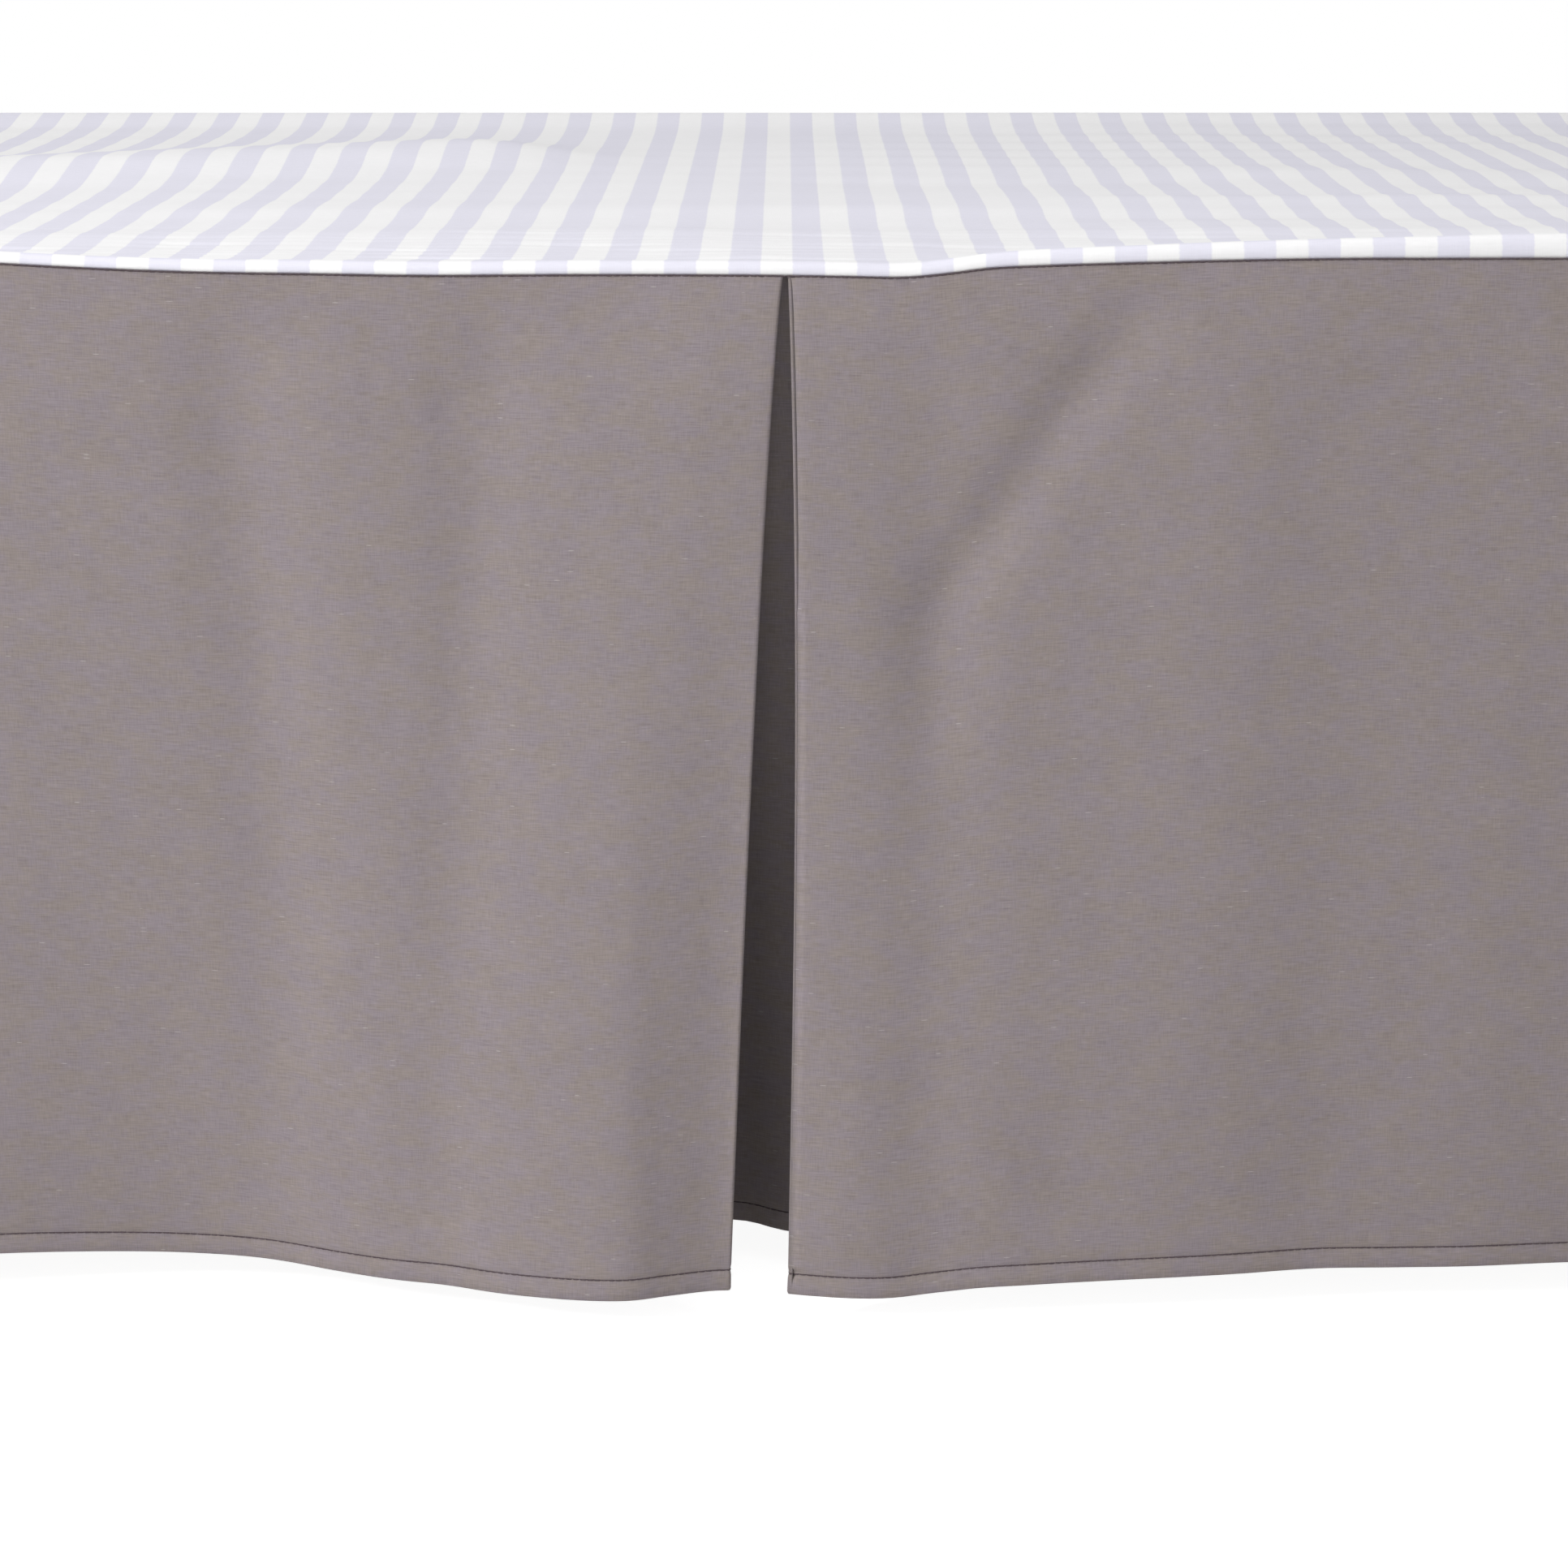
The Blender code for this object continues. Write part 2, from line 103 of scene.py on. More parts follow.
# Irregular waves of about this pitch, from -1 to 1
def unevenness(x, y, pitch, seed):
    draw = random.Random(seed)
    total = 0
    for _ in range(waves["count"]):
        heading = draw.uniform(0, math.pi)
        length = pitch * draw.uniform(*waves["lengths"])
        phase = draw.uniform(0, 2 * math.pi)
        along = x * math.cos(heading) + y * math.sin(heading)
        total = total + np.sin(2 * math.pi * along / length + phase)
    return total / waves["count"]


# A sheet from its points, as rows of columns, with a UV map in metres of cloth
def clothMesh(name, places, cloth):
    rows, columns = places.shape[:2]
    bm = bmesh.new()
    bmesh.ops.create_grid(bm, x_segments=columns - 1, y_segments=rows - 1, size=0.5)
    mesh = bpy.data.meshes.new(name)
    bm.to_mesh(mesh)
    bm.free()
    flat = np.empty(len(mesh.vertices) * 3)
    mesh.vertices.foreach_get("co", flat)
    flat = flat.reshape(-1, 3)
    column = np.rint((flat[:, 0] + 0.5) * (columns - 1)).astype(int)
    row = np.rint((flat[:, 1] + 0.5) * (rows - 1)).astype(int)
    mesh.vertices.foreach_set("co", places[row, column].ravel())
    corners = np.empty(len(mesh.loops), int)
    mesh.loops.foreach_get("vertex_index", corners)
    uvMap = mesh.uv_layers.new(name="cloth")
    uvMap.data.foreach_set("uv", cloth[row, column][corners].ravel())
    mesh.shade_smooth()
    mesh.update()
    return mesh


def addPiece(name, mesh, look, slotName, *replaced):
    piece = bpy.data.objects.new(name, mesh)
    bpy.context.scene.collection.objects.link(piece)
    mesh.materials.append(look)
    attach(piece, "root")
    if replaced:
        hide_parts(*replaced)
    return piece


def thicken(piece):
    solid = piece.modifiers.new("cloth thickness", "SOLIDIFY")
    solid.thickness = skirt["thickness"]
    solid.offset = 0.0
    solid.use_rim = True


# Node groups that the cloths share

def newGroup(name, inputs, outputs):
    group = bpy.data.node_groups.new(name, "ShaderNodeTree")
    for label, kind, value in inputs:
        socket = group.interface.new_socket(name=label, in_out="INPUT", socket_type=kind)
        if value is not None:
            socket.default_value = value
    for label, kind in outputs:
        group.interface.new_socket(name=label, in_out="OUTPUT", socket_type=kind)
    return group, group.nodes.new("NodeGroupInput").outputs, group.nodes.new("NodeGroupOutput").inputs


# Adds and links the nodes of one tree
class NodeHelper:
    def __init__(self, tree):
        self.tree = tree

    def add(self, kind, inputs=None, **settings):
        node = self.tree.nodes.new(kind)
        for label, value in settings.items():
            setattr(node, label, value)
        for label, value in (inputs or {}).items():
            if isinstance(value, bpy.types.NodeSocket):
                self.tree.links.new(value, node.inputs[label])
            else:
                node.inputs[label].default_value = value
        return node

    def maths(self, operation, *values):
        return self.add("ShaderNodeMath", dict(enumerate(values)), operation=operation).outputs[0]

    def stretched(self, vector, scale, shift=(0, 0, 0)):
        mapping = self.add("ShaderNodeMapping", {"Vector": vector, "Location": shift, "Scale": scale})
        return mapping.outputs[0]

    def noise(self, vector, detail=2.0, rough=0.5):
        inputs = {"Vector": vector, "Scale": 1.0, "Detail": detail, "Roughness": rough}
        return self.add("ShaderNodeTexNoise", inputs, noise_dimensions="2D").outputs["Fac"]

    def remap(self, value, low, high, toLow=0.0, toHigh=1.0, smooth=True):
        inputs = {"Value": value, "From Min": low, "From Max": high, "To Min": toLow, "To Max": toHigh}
        kind = "SMOOTHSTEP" if smooth else "LINEAR"
        return self.add("ShaderNodeMapRange", inputs, interpolation_type=kind).outputs["Result"]

    def mix(self, factor, first, second, blend="MIX"):
        node = self.add("ShaderNodeMix", data_type="RGBA", blend_type=blend)
        for index, value in ((0, factor), (6, first), (7, second)):
            if isinstance(value, bpy.types.NodeSocket):
                self.tree.links.new(value, node.inputs[index])
            else:
                node.inputs[index].default_value = value
        return node.outputs[2]


weave = {
    "weftPitch": 0.5 * mm,      # across the drop, one thread to the next
    "warpPitch": 0.42 * mm,
    "weftRun": 7 * mm,          # how long a thread keeps its shade
    "warpRun": 6 * mm,
    "slubPitch": 1.1 * mm,
    "slubRun": 22 * mm,
    "mottlePitch": 26 * mm,
    "tintPitch": 12 * mm,
    "fleckRun": 6 * mm,
    "warpShare": 0.7,           # how much the warp shows beside the weft
    "slubRelief": 0.6,
    "tintStretch": (0.7, 1.2),
    "tintRange": (0.3, 0.7),
    "fleckDensity": 0.7,
    "fleckRange": (0.90, 0.95),
}


# Shade of the threads, thick slubs, soft mottling and light flecks; and the height of the threads
def makeWeaveGroup():
    inputs = [
        ("Vector", "NodeSocketVector", None), ("Thread Shade", "NodeSocketFloat", 0.1),
        ("Slub Shade", "NodeSocketFloat", 0.1), ("Mottle", "NodeSocketFloat", 0.05),
        ("Fleck", "NodeSocketFloat", 0.3),
    ]
    outputs = [("Shade", "NodeSocketFloat"), ("Warmth", "NodeSocketFloat"), ("Fleck", "NodeSocketFloat"),
               ("Height", "NodeSocketFloat")]
    group, given, out = newGroup("wovenThreads", inputs, outputs)
    n = NodeHelper(group)
    vector = given["Vector"]

    # Each layer is shifted to its own place in the noise
    def layer(scaleAlong, scaleDown, shift, detail, rough=0.5):
        return n.noise(n.stretched(vector, (scaleAlong, scaleDown, 1), (*shift, 0)), detail, rough)

    tintAlong, tintDown = weave["tintStretch"]
    weft = layer(1 / weave["weftRun"], 1 / weave["weftPitch"], (0, 0), 1.0)
    warp = layer(1 / weave["warpPitch"], 1 / weave["warpRun"], (7, 3), 1.0)
    slub = layer(1 / weave["slubRun"], 1 / weave["slubPitch"], (21, 5), 3.0, 0.65)
    mottle = layer(1 / weave["mottlePitch"], 1 / weave["mottlePitch"], (2, 9), 4.0, 0.6)
    patches = layer(tintAlong / weave["tintPitch"], tintDown / weave["tintPitch"], (4, 1), 4.0, 0.7)
    centredWeft = n.maths("SUBTRACT", weft, 0.5)
    centredWarp = n.maths("SUBTRACT", warp, 0.5)
    threads = n.maths("ADD", centredWeft, n.maths("MULTIPLY", centredWarp, weave["warpShare"]))
    shade = n.maths("MULTIPLY", threads, given["Thread Shade"])
    slubShade = n.maths("MULTIPLY", n.maths("SUBTRACT", slub, 0.5), given["Slub Shade"])
    mottleShade = n.maths("MULTIPLY", n.maths("SUBTRACT", mottle, 0.5), given["Mottle"])
    total = n.maths("ADD", n.maths("ADD", shade, slubShade), n.maths("ADD", mottleShade, 1.0))
    n.tree.links.new(total, out["Shade"])
    n.tree.links.new(n.remap(patches, *weave["tintRange"]), out["Warmth"])
    flecks = layer(1 / weave["fleckRun"], weave["fleckDensity"] / weave["weftPitch"], (13, 31), 0.0)
    fleck = n.maths("MULTIPLY", n.remap(flecks, *weave["fleckRange"]), given["Fleck"])
    n.tree.links.new(fleck, out["Fleck"])
    height = n.maths("ADD", threads, n.maths("MULTIPLY", slub, weave["slubRelief"]))
    n.tree.links.new(height, out["Height"])
    return group


weaveGroup = makeWeaveGroup()


def newLook(name, roughness, sheen=0.0):
    look = bpy.data.materials.new(name)
    look.use_nodes = True
    shader = look.node_tree.nodes["Principled BSDF"]
    shader.inputs["Roughness"].default_value = roughness
    shader.inputs["Specular IOR Level"].default_value = 0.2
    shader.inputs["Sheen Weight"].default_value = sheen
    shader.inputs["Sheen Roughness"].default_value = 0.5
    return look, NodeHelper(look.node_tree), shader


def clothUv(n):
    return n.add("ShaderNodeUVMap", uv_map="cloth").outputs[0]


def finishLook(n, shader, colour, height, strength, distance):
    n.tree.links.new(colour, shader.inputs["Base Color"])
    bump = n.add("ShaderNodeBump", {"Height": height, "Strength": strength, "Distance": distance})
    n.tree.links.new(bump.outputs[0], shader.inputs["Normal"])


def wovenThreads(n, vector, strengths):
    node = n.add("ShaderNodeGroup", node_tree=weaveGroup)
    n.tree.links.new(vector, node.inputs["Vector"])
    for label, value in strengths.items():
        node.inputs[label].default_value = value
    return node.outputs


def scaled(n, colour, factor):
    inputs = {0: colour, "Scale": factor}
    return n.add("ShaderNodeVectorMath", inputs, operation="SCALE").outputs[0]


greyCotton = {
    "warm": (0.288, 0.246, 0.232, 1),
    "cool": (0.280, 0.242, 0.262, 1),
    "fleck": (0.52, 0.48, 0.46, 1),
    "roughness": 0.92,
    "sheen": 0.08,
    "threads": {"Thread Shade": 0.36, "Slub Shade": 0.14, "Mottle": 0.12, "Fleck": 0.6},
    "bump": 0.35,
    "bumpDepth": 0.15 * mm,
}


def makeGreyCotton():
    look, n, shader = newLook("greyCotton", greyCotton["roughness"], greyCotton["sheen"])
    woven = wovenThreads(n, clothUv(n), greyCotton["threads"])
    base = n.mix(woven["Warmth"], greyCotton["warm"], greyCotton["cool"])
    colour = n.mix(woven["Fleck"], scaled(n, base, woven["Shade"]), greyCotton["fleck"])
    finishLook(n, shader, colour, woven["Height"], greyCotton["bump"], greyCotton["bumpDepth"])
    return look


stripes = {
    "pitch": 25.4 * mm,
    "whiteCentre": -2.9 * mm,
    "edge": 0.45 * mm,          # how far a stripe's edge fades
    "white": (0.90, 0.895, 0.90, 1),
    "lavender": (0.765, 0.755, 0.845, 1),
    "roughness": 0.9,
    "sheen": 0.05,
    "threads": {"Thread Shade": 0.05, "Slub Shade": 0.03, "Mottle": 0.03, "Fleck": 0.0},
    "wobble": 0.6 * mm,         # how far a stripe's edge wanders
    "wobbleScale": (300, 900, 1),
    "bump": 0.3,
    "bumpDepth": 0.12 * mm,
}


def makeStripedCotton():
    look, n, shader = newLook("stripedCotton", stripes["roughness"], stripes["sheen"])
    vector = clothUv(n)
    woven = wovenThreads(n, vector, stripes["threads"])
    across = n.add("ShaderNodeSeparateXYZ", {0: vector}).outputs[0]
    jitter = n.noise(n.stretched(vector, stripes["wobbleScale"]), 1.0)
    wobble = n.maths("MULTIPLY", n.maths("SUBTRACT", jitter, 0.5), stripes["wobble"])
    centred = n.maths("ADD", n.maths("SUBTRACT", across, stripes["whiteCentre"]), wobble)
    triangle = n.maths("PINGPONG", centred, stripes["pitch"] / 2)
    half, edge = stripes["pitch"] / 4, stripes["edge"]
    lavender = n.remap(triangle, half - edge, half + edge)
    base = n.mix(lavender, stripes["white"], stripes["lavender"])
    colour = scaled(n, base, woven["Shade"])
    finishLook(n, shader, colour, woven["Height"], stripes["bump"], stripes["bumpDepth"])
    return look


thread = {
    "dark": (0.055, 0.038, 0.046, 1),
    "light": (0.12, 0.09, 0.10, 1),
    "roughness": 0.7,
    "sheen": 0.1,
    "scale": (900, 900, 900),
    "bump": 0.3,
    "bumpDepth": 0.1 * mm,
}


def makeThreadLook():
    look, n, shader = newLook("sewingThread", thread["roughness"], thread["sheen"])
    coords = n.add("ShaderNodeTexCoord").outputs["Object"]
    shade = n.noise(n.stretched(coords, thread["scale"]), 2.0)
    colour = n.mix(shade, thread["dark"], thread["light"])
    finishLook(n, shader, colour, shade, thread["bump"], thread["bumpDepth"])
    return look


ticking = {
    "colour": (0.80, 0.78, 0.74, 1),
    "shadow": (0.66, 0.64, 0.60, 1),
    "roughness": 0.93,
    "sheen": 0.05,
    "fineScale": (1600, 1600, 1600),
    "softScale": (9, 9, 9),
    "bump": 0.3,
    "bumpDepth": 0.2 * mm,
}


def makeTicking():
    look, n, shader = newLook("whiteTicking", ticking["roughness"], ticking["sheen"])
    coords = n.add("ShaderNodeTexCoord").outputs["Object"]
    fine = n.noise(n.stretched(coords, ticking["fineScale"]), 2.0)
    soft = n.noise(n.stretched(coords, ticking["softScale"]), 3.0)
    mean = n.maths("MULTIPLY", n.maths("ADD", fine, soft), 0.5)
    colour = n.mix(mean, ticking["shadow"], ticking["colour"])
    finishLook(n, shader, colour, fine, ticking["bump"], ticking["bumpDepth"])
    return look


wood = {
    "light": (0.62, 0.45, 0.28, 1),
    "dark": (0.44, 0.29, 0.16, 1),
    "roughness": 0.5,
    "grain": (14.0, 240.0),     # scale along the grain and across it
    "bands": (2.5, 34.0),
    "distortion": 0.6,
    "grainShare": 0.4,
    "bandShare": 0.6,
    "range": (0.35, 0.65),
    "bump": 0.25,
    "bumpDepth": 0.3 * mm,
}


# Pale wood whose grain runs along one axis
def makeWood(name, direction):
    look, n, shader = newLook(name, wood["roughness"])
    coords = n.add("ShaderNodeTexCoord").outputs["Object"]

    def figure(scales, detail, distortion):
        along, across = scales
        vector = n.stretched(coords, [along if axis == direction else across for axis in range(3)])
        inputs = {"Vector": vector, "Scale": 1.0, "Detail": detail, "Distortion": distortion}
        return n.add("ShaderNodeTexNoise", inputs).outputs["Fac"]

    grain = n.maths("MULTIPLY", figure(wood["grain"], 3.0, 0.0), wood["grainShare"])
    bands = n.maths("MULTIPLY", figure(wood["bands"], 5.0, wood["distortion"]), wood["bandShare"])
    mixed = n.maths("ADD", grain, bands)
    colour = n.mix(n.remap(mixed, *wood["range"]), wood["light"], wood["dark"])
    finishLook(n, shader, colour, mixed, wood["bump"], wood["bumpDepth"])
    return look


stitch = {
    "pitch": 3.0 * mm,
    "stations": 4,            # rings of the thread in each stitch
    "width": 0.6 * mm,
    "sunk": 0.1 * mm,
    "dip": 0.45 * mm,         # how far the thread goes down between two stitches
    "sides": 5,
    "uneven": (0.85, 1.15),   # shares of the thickness
    "seamStep": 4 * mm,
    "underSeam": 1.5,         # in gaps of the seam
}


# The rings of a sewing thread along a line of points, on the cloth face that looks along facing
def sewLine(line, facing, seed):
    steps = np.linalg.norm(np.diff(line, axis=0), axis=-1)
    travelled = np.concatenate(((0,), np.cumsum(steps)))
    count = int(travelled[-1] / stitch["pitch"]) * stitch["stations"]
    stations = np.linspace(0.0, travelled[-1], count + 1)

    def at(values):
        return np.stack([np.interp(stations, travelled, values[:, axis]) for axis in range(3)], axis=-1)

    middle, face = at(line), at(facing)
    ahead = np.gradient(middle, axis=0)
    ahead /= np.linalg.norm(ahead, axis=-1, keepdims=True)
    face -= ahead * np.sum(face * ahead, axis=-1, keepdims=True)
    face /= np.linalg.norm(face, axis=-1, keepdims=True)
    draw = random.Random(seed)
    radius = stitch["width"] / 2 * np.array([[draw.uniform(*stitch["uneven"])] for _ in stations])
    sunk = np.where(np.arange(len(stations)) % stitch["stations"] == 0, stitch["dip"], stitch["sunk"])
    middle = middle + face * (radius - sunk[:, None])
    around = 2 * math.pi * np.arange(stitch["sides"])[None, :, None] / stitch["sides"]
    side = np.cross(face, ahead)
    spokes = side[:, None] * np.sin(around) + face[:, None] * np.cos(around)
    return middle[:, None] + radius[:, None] * spokes


# All the threads of one drop as one joined mesh
def addStitches(name, lines):
    sides = stitch["sides"]
    corners, faces = [], []
    for rings in lines:
        start = len(corners)
        corners.extend(rings.reshape(-1, 3).tolist())
        for ring in range(len(rings) - 1):
            low = start + ring * sides
            faces.extend((low + k, low + (k + 1) % sides, low + sides + (k + 1) % sides, low + sides + k)
                         for k in range(sides))
        faces.append(tuple(range(start + sides - 1, start - 1, -1)))
        faces.append(tuple(range(len(corners) - sides, len(corners))))
    mesh = bpy.data.meshes.new(name)
    mesh.from_pydata(corners, [], faces)
    mesh.shade_smooth()
    return addPiece(name, mesh, looks["sewingThread"], None)


looks = {
    "greyCotton": makeGreyCotton(),
    "stripedCotton": makeStripedCotton(),
    "sewingThread": makeThreadLook(),
    "whiteTicking": makeTicking(),
    "woodAlong": makeWood("paleWoodRail", 0),
    "woodUpright": makeWood("paleWoodLeg", 2),
}
print("looks made")


# Deck: lies on the base, folds and all, and rolls over its edge to the seam

deck = {
    "level": -4.3 * mm,       # from the seam level
    "edgeReach": 30 * mm,
    "calm": 60 * mm,
    "backBand": 5.5 * mm,
    "backSeam": -3.0 * mm,
    "roll": 4.5 * mm,
    "turnDown": 1.0 * mm,
    "turnIn": 1.4 * mm,       # the rim curls in behind the drop's top edge
    "columnStep": 6.0 * mm,
    "rowStep": 1.8 * mm,      # near the front edge
    "rowStepFar": 7.0 * mm,
    "nearDepth": 170 * mm,
    "wrinkleHeight": 1.05 * mm,
    "wrinklePitch": 15 * mm,
    "rippleHeight": 1.1 * mm,
    "ripplePitch": 52 * mm,
    "wrinkleStretch": 0.16,   # along the bed, against 1 across it
    "wrinkleShape": (0.5, 1.8, 0.6),
    "wrinkleReach": 150 * mm,
    "patchPitch": 90 * mm,
    "rippleStretch": 0.22,
    "rippleShares": (0.45, 0.55),  # everywhere, and what comes on at the right
    "rippleFrom": 60 * mm,
    "rippleBlend": 50 * mm,
    "rimCalm": 25 * mm,
    "rollSteps": (0.18, 0.36, 0.54, 0.72, 0.88, 1.0, 1.12, 1.25, 1.4),  # 1 at the end of the roll
    "curlShare": 0.4,         # steps past the roll over which the rim curls in
    "turnDownRate": 1.6,
    "clothPerStep": 1.4,      # cloth along the roll, in radii
}
# In mm: the two ends of each fold's crest, its height, its width in front of the crest and behind it
deckFolds = (
    (-430, 10, -165, 130, 9.5, 42, 85), (215, -190, 420, -205, 1.3, 24, 24),
    (180, -78, 460, -68, 1.6, 26, 26), (240, 60, 470, 28, 1.8, 28, 28),
    (-300, -228, -60, -215, 1.2, 24, 24), (-240, -120, 40, -110, 1.4, 26, 26),
    (20, -170, 150, -150, -1.6, 30, 30), (60, 10, 190, 30, -1.8, 34, 34),
)
foldEnd = 60 * mm


def edgeShare(inside):
    return np.exp(-(np.maximum(inside, 0) / deck["edgeReach"]) ** 1.5)


def deckRest(x, y):
    height = 0
    for xStart, yStart, xEnd, yEnd, high, wide, wideBehind in deckFolds:
        startX, startY = xStart * mm, yStart * mm
        runX, runY = xEnd * mm - startX, yEnd * mm - startY
        length = math.hypot(runX, runY)
        along = ((x - startX) * runX + (y - startY) * runY) / length
        across = (runX * (y - startY) - runY * (x - startX)) / length
        width = np.where(across > 0, wideBehind, wide) * mm
        pastEnd = np.maximum(np.maximum(-along, along - length), 0) / foldEnd
        height = height + high * mm * np.exp(-pastEnd ** 2 - (across / width) ** 2)
    inside = np.minimum(halfLength - abs(x), halfWidth - abs(y)) / deck["calm"]
    return skirt["seamLevel"] + deck["level"] + height * np.clip(inside, 0, 1)


def deckTop(x, y):
    frontRise = smoothInterp(x, edgeX, edgeSeam + edgeBand) - deck["level"]
    backRise = deck["backSeam"] + deck["backBand"] - deck["level"]
    return deckRest(x, y) + frontRise * edgeShare(y + halfWidth) + backRise * edgeShare(halfWidth - y)


# Fine wrinkles that run along the front edge, and the longer ripples behind them
def deckRelief(x, y):
    behind = y + halfWidth
    calmEdge = np.clip(np.minimum(halfLength - abs(x), halfWidth - abs(y)) / deck["rimCalm"], 0, 1)
    patches = 0.5 + 0.5 * unevenness(x, y, deck["patchPitch"], 4)
    fine = unevenness(x * deck["wrinkleStretch"], y, deck["wrinklePitch"], 11)
    level, crest, lean = deck["wrinkleShape"]
    fine = level - crest * abs(fine) + lean * fine
    nearEdge = np.exp(-(behind / deck["wrinkleReach"]) ** 2)
    ripples = unevenness(x * deck["rippleStretch"], y, deck["ripplePitch"], 23)
    everywhere, atRight = deck["rippleShares"]
    toRight = everywhere + atRight / (1 + np.exp(-(x - deck["rippleFrom"]) / deck["rippleBlend"]))
    return calmEdge * (deck["wrinkleHeight"] * fine * patches * nearEdge
                       + deck["rippleHeight"] * ripples * toRight)


def bandHeight(x, y):
    return np.where(y <= 0, smoothInterp(x, edgeX, edgeBand), deck["backBand"])


def frontSeam(x):
    return deckTop(x, np.full_like(x, -halfWidth)) - smoothInterp(x, edgeX, edgeBand)


def backSeam(x):
    return np.full_like(x, skirt["seamLevel"] + deck["backSeam"])


def rightSeam(y):
    x = np.full_like(y, halfLength)
    return deckTop(x, y) - bandHeight(x, y)


def leftSeam(y):
    return rightSeam(-y)


def stepped(low, high, step):
    return np.linspace(low, high, max(2, round((high - low) / step) + 1))


def makeDeck():
    reach = np.array(deck["rollSteps"])
    innerX, innerY = halfLength - deck["roll"], halfWidth - deck["roll"]
    nearEnd = deck["nearDepth"] - halfWidth
    flatX = stepped(-innerX, innerX, deck["columnStep"])
    flatY = np.concatenate((stepped(-innerY, nearEnd, deck["rowStep"]),
                            stepped(nearEnd, innerY, deck["rowStepFar"])[1:]))
    columnX = np.concatenate((-innerX - reach[::-1], flatX, innerX + reach))
    rowY = np.concatenate((-innerY - reach[::-1], flatY, innerY + reach))
    gridX, gridY = np.meshgrid(columnX, rowY)
    coreX, coreY = np.clip(gridX, -innerX, innerX), np.clip(gridY, -innerY, innerY)
    pastX, pastY = gridX - coreX, gridY - coreY
    share = np.maximum(abs(pastX), abs(pastY))
    spread = np.hypot(pastX, pastY) + 1e-9
    headingX, headingY = pastX / spread, pastY / spread
    turn = np.minimum(share, 1) * math.pi / 2
    curl = np.clip((share - 1) / deck["curlShare"], 0, 1)
    outward = deck["roll"] * np.sin(turn) - deck["turnIn"] * curl ** 2
    wall = deck["roll"] + deck["turnDown"]
    turnedDown = deck["turnDown"] * np.minimum(curl * deck["turnDownRate"], 1)
    down = (deck["roll"] * (1 - np.cos(turn)) + turnedDown) / wall
    x = coreX + headingX * outward
    y = coreY + headingY * outward
    z = deckTop(x, y) + deckRelief(x, y) - down * bandHeight(x, y)
    half = skirt["thickness"] / 2
    z -= half * np.cos(turn)
    x -= headingX * half * np.sin(turn)
    y -= headingY * half * np.sin(turn)
    arc = deck["roll"] * share * deck["clothPerStep"]
    places = np.stack((x, y, z), axis=-1)
    cloth = np.stack((coreX + headingX * arc, coreY + headingY * arc), axis=-1)
    piece = addPiece("deckCloth", clothMesh("deckCloth", places, cloth), looks["stripedCotton"],
                     "striped_cotton", "deck")
    thicken(piece)


# Drops: sections seen from above, as places along the drop and depths behind its front plane

pleat = {
    "returnReach": 89 * mm,
    "foldRadius": 0.9 * mm,
    "drawn": 300 * mm,
    "openLeft": 22.4 * mm,
    "openRight": 1.3 * mm,
    "bowRight": 3.0 * mm,
    "lift": 3.5 * mm,         # of the underlay at the hem
    "leftPower": 0.75,        # how the folds part on the way down
    "rightPower": 0.8,
    "openPower": 1.3,
    "beside": 0.6 * mm,       # first point of the panel past its fold
    "stacked": 3,             # radii of fold between panel and underlay at the seam
}
underlayDepth = np.array(((-89, 50), (-52, 55), (-17, 56), (0, 45), (35, 38), (89, 42))).T * mm
# In mm and shares of the drop: start, end, depth pressed in (minus is a ridge), width
creases = (
    (-222, 0.04, -208, 0.60, 3.2, 20), (-117, 0.03, -143, 0.90, 3.2, 18), (-180, 0.10, -186, 0.85, -1.1, 20),
    (-30, 0.05, -52, 0.55, -2.6, 34), (146, 0.02, 62, 0.32, 3.4, 16), (60, 0.32, 60, 0.95, 2.6, 18),
    (180, 0.12, 176, 0.75, -2.6, 40),
    (-140, 0.08, -133, 0.13, 1.0, 8), (114, 0.84, 114, 0.92, 1.4, 18), (243, 0.05, 318, 0.18, 0.9, 12),
)
creaseFade = 0.35
creaseFree = 0.10


def creaseDepth(x, level):
    depth = 0
    for xStart, tStart, xEnd, tEnd, deep, wide in creases:
        span = (level - tStart) / (tEnd - tStart)
        middle = (xStart + (xEnd - xStart) * np.clip(span, 0, 1)) * mm
        pastEnd = np.maximum(np.maximum(-span, span - 1), 0) / creaseFade
        depth = depth + deep * mm * np.exp(-pastEnd ** 2 - ((x - middle) / (wide * mm)) ** 2)
    return depth * np.minimum(level / creaseFree, 1)


swelling = {"all": 0.8 * mm, "atPleat": 2.6 * mm, "spread": 105 * mm, "onset": 0.07}
sagShares = (0.35, 0.65)      # of the hem's depth that come evenly, and that come towards the hem


# How far the cloth swells out just under the seam, most at the pleat
def shoulder(x, level):
    swell = swelling["all"] + swelling["atPleat"] * np.exp(-(x / swelling["spread"]) ** 2)
    return swell * (1 - np.exp(-level / swelling["onset"])) * (1 - level)


def sag(level):
    return sagShares[0] * level + sagShares[1] * level ** 2


def openShare(level):
    return level ** pleat["openPower"]


def panelDepth(x, level):
    atHem = smoothInterp(x, edgeX, edgeHem)
    return skirt["thickness"] / 2 + atHem * sag(level) + creaseDepth(x, level) - shoulder(x, level)


def panelSection(places, foldShift, level):
    x = places + foldShift * np.maximum(0, 1 - abs(places) / pleat["drawn"]) ** 2
    return np.stack((x, panelDepth(x, level)), axis=-1)


